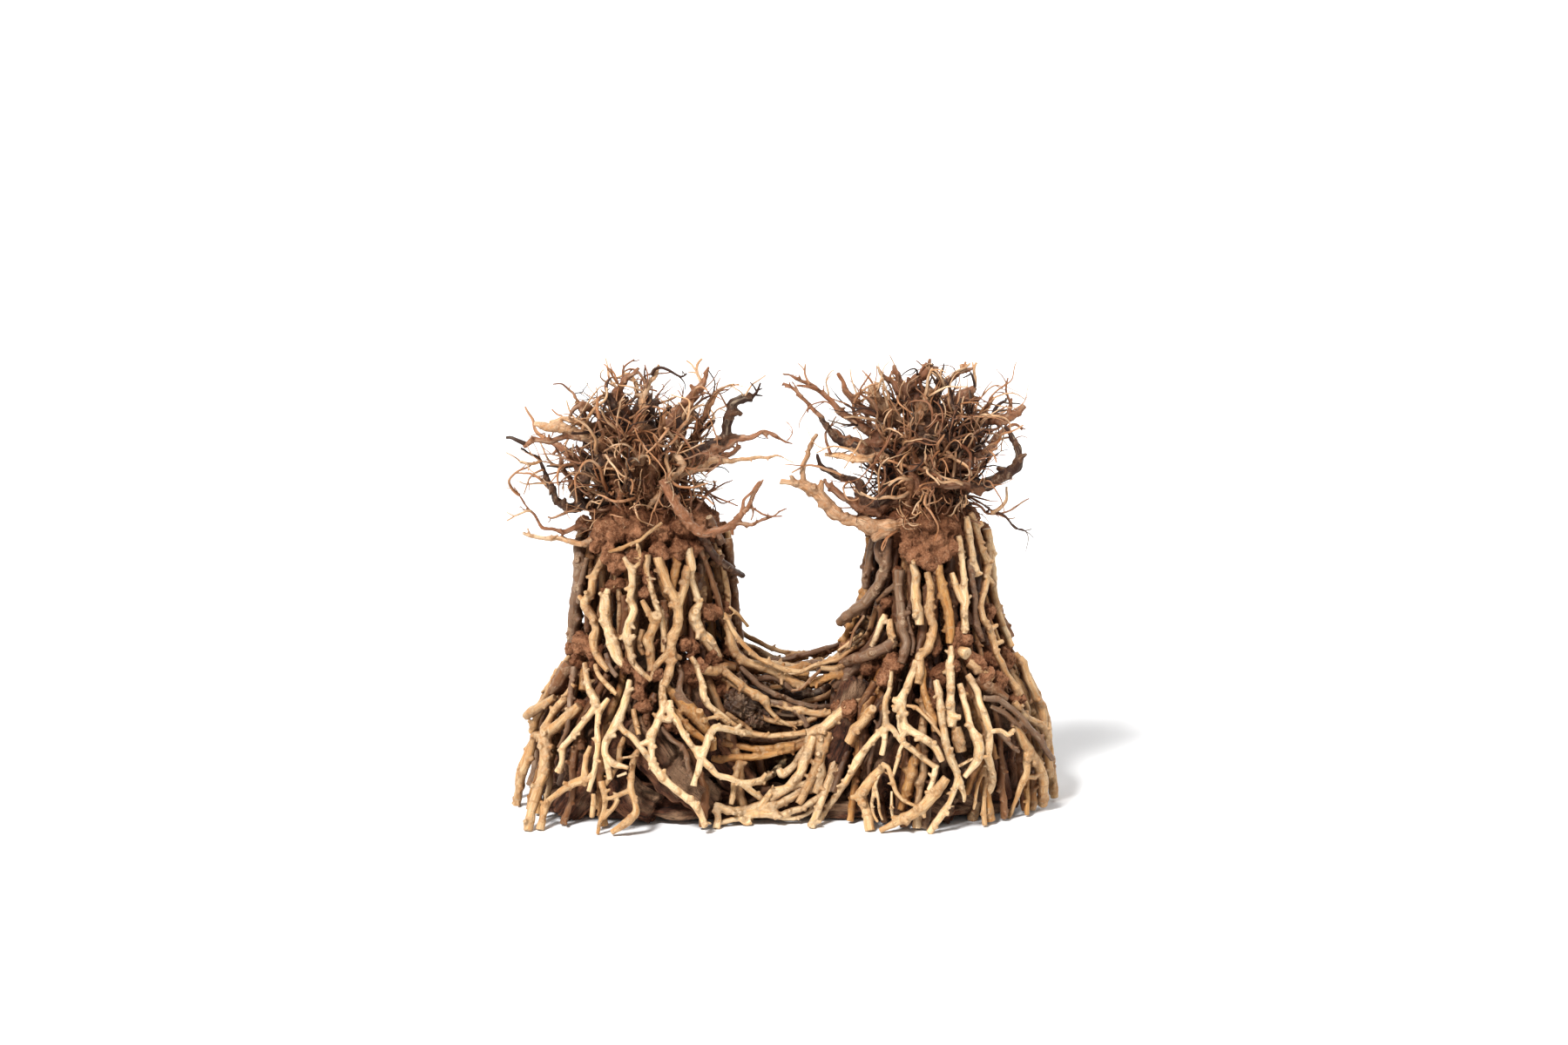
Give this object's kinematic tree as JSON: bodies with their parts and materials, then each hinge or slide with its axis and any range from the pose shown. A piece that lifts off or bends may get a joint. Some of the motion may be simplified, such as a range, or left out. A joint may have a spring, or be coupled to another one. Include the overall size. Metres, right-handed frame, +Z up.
{
  "type": "ornamental dry root",
  "caption": "Dry root ornament: two hollow trunks of glued twigs on a driftwood log, joined by a low saddle of branches, each topped by a crown of tangled roots.",
  "frame": {"origin": "bottom centre of the bounding box, on the floor", "axes": "+X along the log and the longest extent, +Y away from the front, +Z up"},
  "size_m": [0.3017, 0.1386, 0.2497],
  "materials": {
    "driftwood": "rough weathered driftwood with long open grooves",
    "heartwood": "dry red heartwood with straight open grain",
    "twig_tan": "peeled dry twig, matt, fine long grain with brown stains",
    "twig_cream": "peeled pale dry twig, smooth and matt",
    "twig_grey": "weathered grey-brown twig with cracked grain",
    "filler": "porous paste of glue and brown wood dust",
    "root_brown": "dry brown root with fibrous skin"
  },
  "bodies": {
    "root": {"base_log": "driftwood", "heartwood_block": "heartwood", "left_collar": "filler", "left_crown": "root_brown", "left_side_root": "root_brown", "left_skirt_antler": "twig_cream", "left_skirt_back_fork": "twig_cream", "left_skirt_back_leg": "twig_tan", "left_skirt_back_side": "twig_grey", "left_skirt_cream_fork": "twig_cream", "left_skirt_front_leg": "twig_cream", "left_skirt_knotted": "twig_tan", "left_skirt_split_leg": "twig_tan", "left_skirt_thick_leg": "twig_tan", "left_skirt_white_fork": "twig_cream", "left_stump": "driftwood", "left_waist_back_fork": "twig_tan", "left_waist_back_grey": "twig_grey", "left_waist_filler": "filler", "left_waist_fork": "twig_tan", "left_waist_grey": "twig_grey", "left_waist_kinked": "twig_tan", "left_waist_knob": "twig_cream", "left_waist_pale": "twig_cream", "left_waist_sawn": "twig_cream", "left_waist_side": "twig_tan", "left_waist_slim": "twig_cream", "right_collar": "filler", "right_crown": "root_brown", "right_glued_root": "root_brown", "right_skirt_back_fork": "twig_cream", "right_skirt_back_leg": "twig_tan", "right_skirt_back_side": "twig_grey", "right_skirt_cream_fork": "twig_cream", "right_skirt_crossing": "twig_cream", "right_skirt_dark_arc": "twig_grey", "right_skirt_flared_leg": "twig_tan", "right_skirt_flat_post": "twig_cream", "right_skirt_knee_leg": "twig_tan", "right_skirt_round_leg": "twig_tan", "right_skirt_web_leg": "twig_tan", "right_skirt_white_post": "twig_cream", "right_stump": "driftwood", "right_waist_back": "twig_tan", "right_waist_back_grey": "twig_grey", "right_waist_branch": "twig_grey", "right_waist_brown": "twig_tan", "right_waist_cream": "twig_cream", "right_waist_filler": "filler", "right_waist_forked": "twig_grey", "right_waist_long": "twig_grey", "right_waist_middle": "twig_tan", "right_waist_rim": "twig_tan", "saddle_broad_branch": "twig_grey", "saddle_foot_web": "twig_cream", "saddle_grey_twig": "twig_grey", "saddle_junction": "twig_cream", "saddle_long_twig": "twig_tan", "saddle_main_twig": "twig_tan", "saddle_tan_twig": "twig_tan"}
  },
  "joints": []
}
